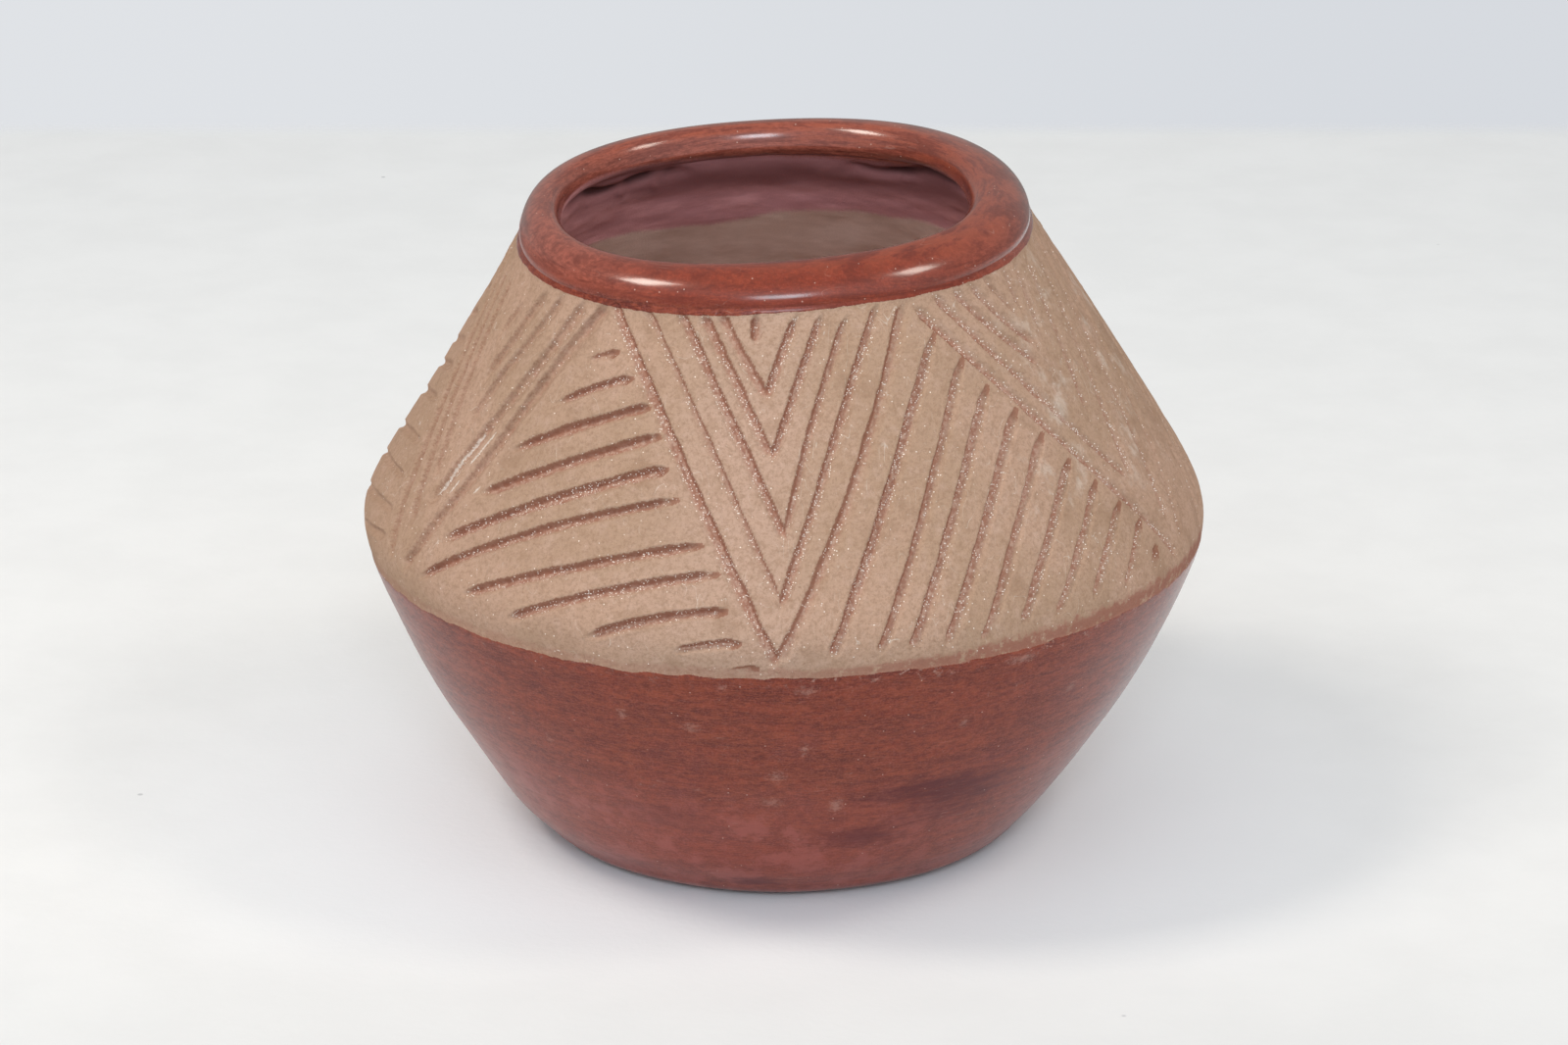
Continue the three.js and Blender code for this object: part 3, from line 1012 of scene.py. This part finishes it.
# The clay's colour, roughness, height, mica plates and their random colours.
def clayFinish(at):
    x, y, z, carved = (at[key] for key in ("x", "y", "z", "carved"))
    speckled = at["fine"] - 0.5
    groove = ramp(carved, 0.05, 0.45)
    # A reddish wash along the bowl's edge.
    washWidth = clay["washWidth"] + clay["washWiderRight"] * ramp(x, 5, 35)
    washed = ramp(at["bare"] / washWidth + (at["edge"] - 0.5) * 1.2, 1, 0.55) * ramp(z, 46, 44)
    washed = washed * (0.35 + 0.65 * ramp(x, -10, 25)) * ramp(at["washPatch"], 0.3, 0.5)
    # Mica: small plates that lie nearly flat, each turned a little its own way. Their pale colour is partly
    # the mica's own and partly a painted glint.
    plates = clay["plates"]
    plateGap, plateDraw = cells(at["plain"], plates["scale"])
    micaShare = plates["share"] + plates["inGrooves"] * groove * at["mica"]
    plate = ramp(channel(plateDraw, 2) - 1 + micaShare, -0.004, 0.004)
    plate = plate * ramp(plates["size"] - plateGap, 0, 0.1)
    hairline = ramp(maths("ABSOLUTE", at["hairlines"] - 0.5), 0.005, 0)
    masks = {
        # Painted light: the clay that faces the front is tinted a paler pink, as if lit from the front.
        "facing": ramp(-y / at["radius"], 0.9, 1) * ramp(x, 8, -2),
        "stained": ramp(at["stains"] + ramp(x, 34, 44) * 0.06, 0.54, 0.72),
        "hazy": ramp(at["haze"], 0.52, 0.7) * ramp(x, 22, 34) * ramp(z, 50, 56),
        "hairline": hairline * ramp(at["hairlinePatch"], 0.5, 0.62),
        # The deep part of a groove gets a redder colour, partly the cut clay's own and partly painted shade
        # towards the deepest line. In places it is paler instead.
        "core": ramp(carved + speckled * 0.5, 0.25, 0.75),
        "shade": ramp(at["steep"] + speckled * 0.9, 0.2, 0.9),
        "chalky": ramp(at["chalk"] + speckled * 2, 0.35, 1),
        "washed": washed,
        "plate": plate,
    }
    grooveColour = tint(ramp(at["deepPatch"], 0.42, 0.66), clay["carved"], clay["carvedPale"])
    colour = tint(ramp(at["clayPatch"], 0.38, 0.62), clay["olive"], clay["tan"])
    colour = layered(colour, {**at, **masks}, {**clay, "groove": grooveColour}, clay["layers"])
    rough = choose(plate, clay["roughness"], clay["plateRoughness"])
    height = 0.1 * speckled + 0.05 * (at["grain"] - 0.5) + 0.14 * (at["pits"] - 0.5)
    height = height + 0.04 * (at["scrapes"] - 0.5) + 0.12 * groove * (at["grooveGrain"] - 0.5)
    return colour, rough, height, plate, plateDraw


def innerFinish(at):
    speckled, wiped = at["fine"] - 0.5, at["wiped"]
    isRaw = ramp(at["raw"] + speckled * 1.2, -0.5, 0.5)
    # Painted shade: the inside at the back just under the lip is darkened.
    masks = {"isRaw": isRaw, "underBack": ramp(at["z"], 75, 78.5) * ramp(at["y"], 8, 22)}
    rawWiped = tint(ramp(wiped, 0.35, 0.7), inner["rawDark"], inner["raw"])
    colour = tint(ramp(wiped, 0.38, 0.66), inner["slipDark"], inner["slip"])
    colour = layered(colour, {**at, **masks}, {**inner, "rawWiped": rawWiped}, inner["layers"])
    return colour, inner["roughness"] + inner["rawRougher"] * isRaw, 0.08 * (wiped - 0.5) + 0.05 * speckled


def potMaterial(name):
    material = bpy.data.materials.new(name)
    place = resized(cleared(material).add("TexCoord", output="Object"), 1 / millimetre)
    x, y, z = split(place)
    radius = maths("SQRT", x * x + y * y)
    upward = z + radius * 0.6
    at = {"x": x, "y": y, "z": z, "radius": radius, "plain": place}
    at["flattened"] = vector("MULTIPLY", place, (1, 1, 0.7))
    at["slanted"] = vector("MULTIPLY", place, (1, 0.6, 0.35))
    for key, (share, shift) in drawnOut.items():
        at[key] = place.add("CombineXYZ", inputs={0: x * share + shift, 1: y * share, 2: upward})
    for where, found in noises.items():
        for key, values in found.items():
            at[key] = noise(at[where], *values)
    for key in pointMarks:
        at[key] = place.add("Attribute", {"attribute_name": key}, output="Fac")

    # Outside, the slip and the clay meet along the slip lines. Inside, the red ends in the mouth.
    slipColour, slipRough, slipHeight, wear = slipFinish(at)
    clayColour, clayRough, clayHeight, plate, plateDraw = clayFinish(at)
    innerColour, innerRough, innerHeight = innerFinish(at)
    speckled = at["fine"] - 0.5
    isClay = ramp(at["bare"] + speckled * 0.25, -0.03, 0.06)
    within = at["inside"] * ramp(z + speckled, 82.8, 81.6)
    colour = tint(within, tint(isClay, slipColour, clayColour), innerColour)
    rough = choose(within, choose(isClay, slipRough, clayRough), innerRough)
    height = choose(within, choose(isClay, slipHeight, clayHeight), innerHeight)

    # Bends the normal at each mica plate, then adds the fine relief.
    turned = vector("SUBTRACT", plateDraw, (0.5, 0.5, 0.5))
    turned = resized(turned, plate * isClay * clay["plates"]["turn"])
    bent = vector("NORMALIZE", vector("ADD", place.add("NewGeometry", output="Normal"), turned))
    bumped = place.add("Bump", inputs={"Height": height, "Distance": 0.001, "Strength": 1, "Normal": bent})
    bowlCoat = slip["coat"] + slip["coatMoreRight"] * ramp(x, 28, 46)
    coat = choose(ramp(z, 80.9, 81.8), bowlCoat, slip["lipCoat"])
    shader = place.add("BsdfPrincipled", inputs={
        "Base Color": colour,
        "Roughness": rough,
        "Normal": bumped,
        "Coat Weight": (1 - isClay) * (1 - within) * (1 - wear) * coat,
        "IOR": 1.18,
        "Coat Roughness": 0.17,
        "Coat IOR": 1.5,
    })
    shader.add("OutputMaterial", inputs={"Surface": shader})
    return material


slots = {part["node"]: part["material_slot"] for part in frame["record"]["subparts"]}
finishes = {"red_slip": potMaterial("polishedRedSlip"), "bare_clay": potMaterial("bareMicaClay")}
for node, piece in pieces.items():
    piece.data.materials.append(finishes[slots[node]])
    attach(piece, "root")
    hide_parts(node)
print("finishes made")

# The table, the light and the camera. Each lamp is aimed at the middle of the pot.
studio = {
    "floorColour": (0.755, 0.76, 0.76),
    "floorPale": (0.78, 0.785, 0.785),
    # A painted shade for the front of the floor.
    "floorPaintedShade": (0.6, 0.614, 0.624),
    # A paler, bluer painted light for the floor round the pot.
    "floorPaintedLight": (0.87, 0.9, 0.93),
    "floorDirt": (0.25, 0.25, 0.27),
    "floorSize": 2.0,
    "floorRoughness": 0.9,
    "paintedShadeStrength": 0.9,
    "paintedLightStrength": 0.8,
    "dirtStrength": 0.5,
    "dirtScale": 70,
    "backLeft": (0.745, 0.765, 0.795),
    "backRight": (0.68, 0.705, 0.745),
    "tableBack": 0.324,
    "skyColour": (1, 0.985, 0.97),
    "around": 0.58,
    "mirroredLoss": 0.5,
    "front": 0.75,
    "frontColour": (0.86, 0.935, 1),
    "lampTarget": (0, 0, 0.045),
    "lamps": {
        "leftLamp": ((-0.297, -0.108, 0.486), (0.13, 0.15), 1.15, (1, 0.92, 0.82)),
        "rightLamp": ((0.261, -0.099, 0.414), (0.1, 0.1), 0.42, (1, 0.92, 0.82)),
        "window": ((0.07, -3.4, 2.12), (0.9, 0.75), 34, (0.8, 0.91, 1)),
    },
}

floorMesh = bpy.data.meshes.new("tableTop")
bm = bmesh.new()
bmesh.ops.create_grid(bm, x_segments=1, y_segments=1, size=studio["floorSize"])
bmesh.ops.translate(bm, verts=bm.verts, vec=(0, studio["tableBack"] + 0.02 - studio["floorSize"], 0))
bm.to_mesh(floorMesh)
bm.free()
floor = bpy.data.objects.new("tableTop", floorMesh)
bpy.context.scene.collection.objects.link(floor)
floorMaterial = bpy.data.materials.new("tableWhite")
where = cleared(floorMaterial).add("TexCoord", output="Object")
behind = split(where)[1]
painted = tint(ramp(noise(where, 60, 4, 0.6), 0.3, 0.7), studio["floorColour"], studio["floorPale"])
# Painted shade: the floor is darker towards the front.
painted = tint(ramp(behind, 0, -0.17) * studio["paintedShadeStrength"], painted, studio["floorPaintedShade"])
dirtGap, dirtDraw = cells(where, studio["dirtScale"])
dirt = ramp(0.035 - dirtGap, 0, 0.02) * ramp(channel(dirtDraw, 0), 0.9, 0.91)
painted = tint(dirt * studio["dirtStrength"], painted, studio["floorDirt"])
# Painted light: the floor round the pot is paler and bluer where the pot's shade falls, less so in front of
# it.
paintedLightNearPot = ramp(vector("LENGTH", where, output=1), 0.1, 0.045) * (1 - 0.75 * ramp(behind, -0.035, -0.065))
painted = tint(paintedLightNearPot * studio["paintedLightStrength"], painted, studio["floorPaintedLight"])
gritHeight = noise(where, 700, 3, 0.6)
grit = where.add("Bump", inputs={"Height": gritHeight, "Distance": 0.0001, "Strength": 0.4})
cloth = {"Base Color": painted, "Roughness": studio["floorRoughness"], "IOR": 1.15, "Normal": grit}
# The table's back edge fades out.
fading = ramp(behind, studio["tableBack"] - 0.006, studio["tableBack"] + 0.006)
surfaces = {1: where.add("BsdfPrincipled", inputs=cloth), 2: where.add("BsdfTransparent")}
top = where.add("MixShader", inputs={0: fading, **surfaces})
top.add("OutputMaterial", inputs={"Surface": top})
floor.data.materials.append(floorMaterial)

world = bpy.data.worlds.new("softRoom")
bpy.context.scene.world = world
start = cleared(world)
seen = start.add("LightPath", output="Is Camera Ray")
mirrored = start.add("LightPath", output="Is Glossy Ray")
sideways, forwards, upwards = split(start.add("TexCoord", output="Generated"))
front = ramp(-forwards, -0.1, 0.8) * ramp(upwards, 0.95, 0.7)
backdrop = tint(ramp(sideways, -0.13, 0.13), studio["backLeft"], studio["backRight"])
colour = tint(seen, tint(front, studio["skyColour"], studio["frontColour"]), backdrop)
strength = (studio["around"] + front * studio["front"]) * (1 - mirrored * studio["mirroredLoss"])
sky = start.add("Background", inputs={"Color": colour, "Strength": choose(seen, strength, 1)})
sky.add("OutputWorld", inputs={"Surface": sky})


def aimed(name, data, place, target):
    item = bpy.data.objects.new(name, data)
    item.location = place
    aim = Vector(target) - item.location
    item.rotation_euler = aim.to_track_quat("-Z", "Y").to_euler()
    bpy.context.scene.collection.objects.link(item)
    return item


for name, (place, size, power, lampColour) in studio["lamps"].items():
    light = bpy.data.lights.new(name, "AREA")
    light.shape = "RECTANGLE"
    light.size, light.size_y = size
    light.energy = power
    light.color = lampColour
    aimed(name, light, place, studio["lampTarget"])

view = {
    "place": (0, -0.7048, 0.2965),
    "target": (0, 0, 0.04),
    "lens": 131.5,
    "sensor": 36,
}
cameraData = bpy.data.cameras.new("camera")
cameraData.lens = view["lens"]
cameraData.sensor_width = view["sensor"]
cameraData.clip_start = 0.01
bpy.context.scene.camera = aimed("camera", cameraData, view["place"], view["target"])
bpy.context.scene.view_settings.view_transform = "Standard"
print("studio made")
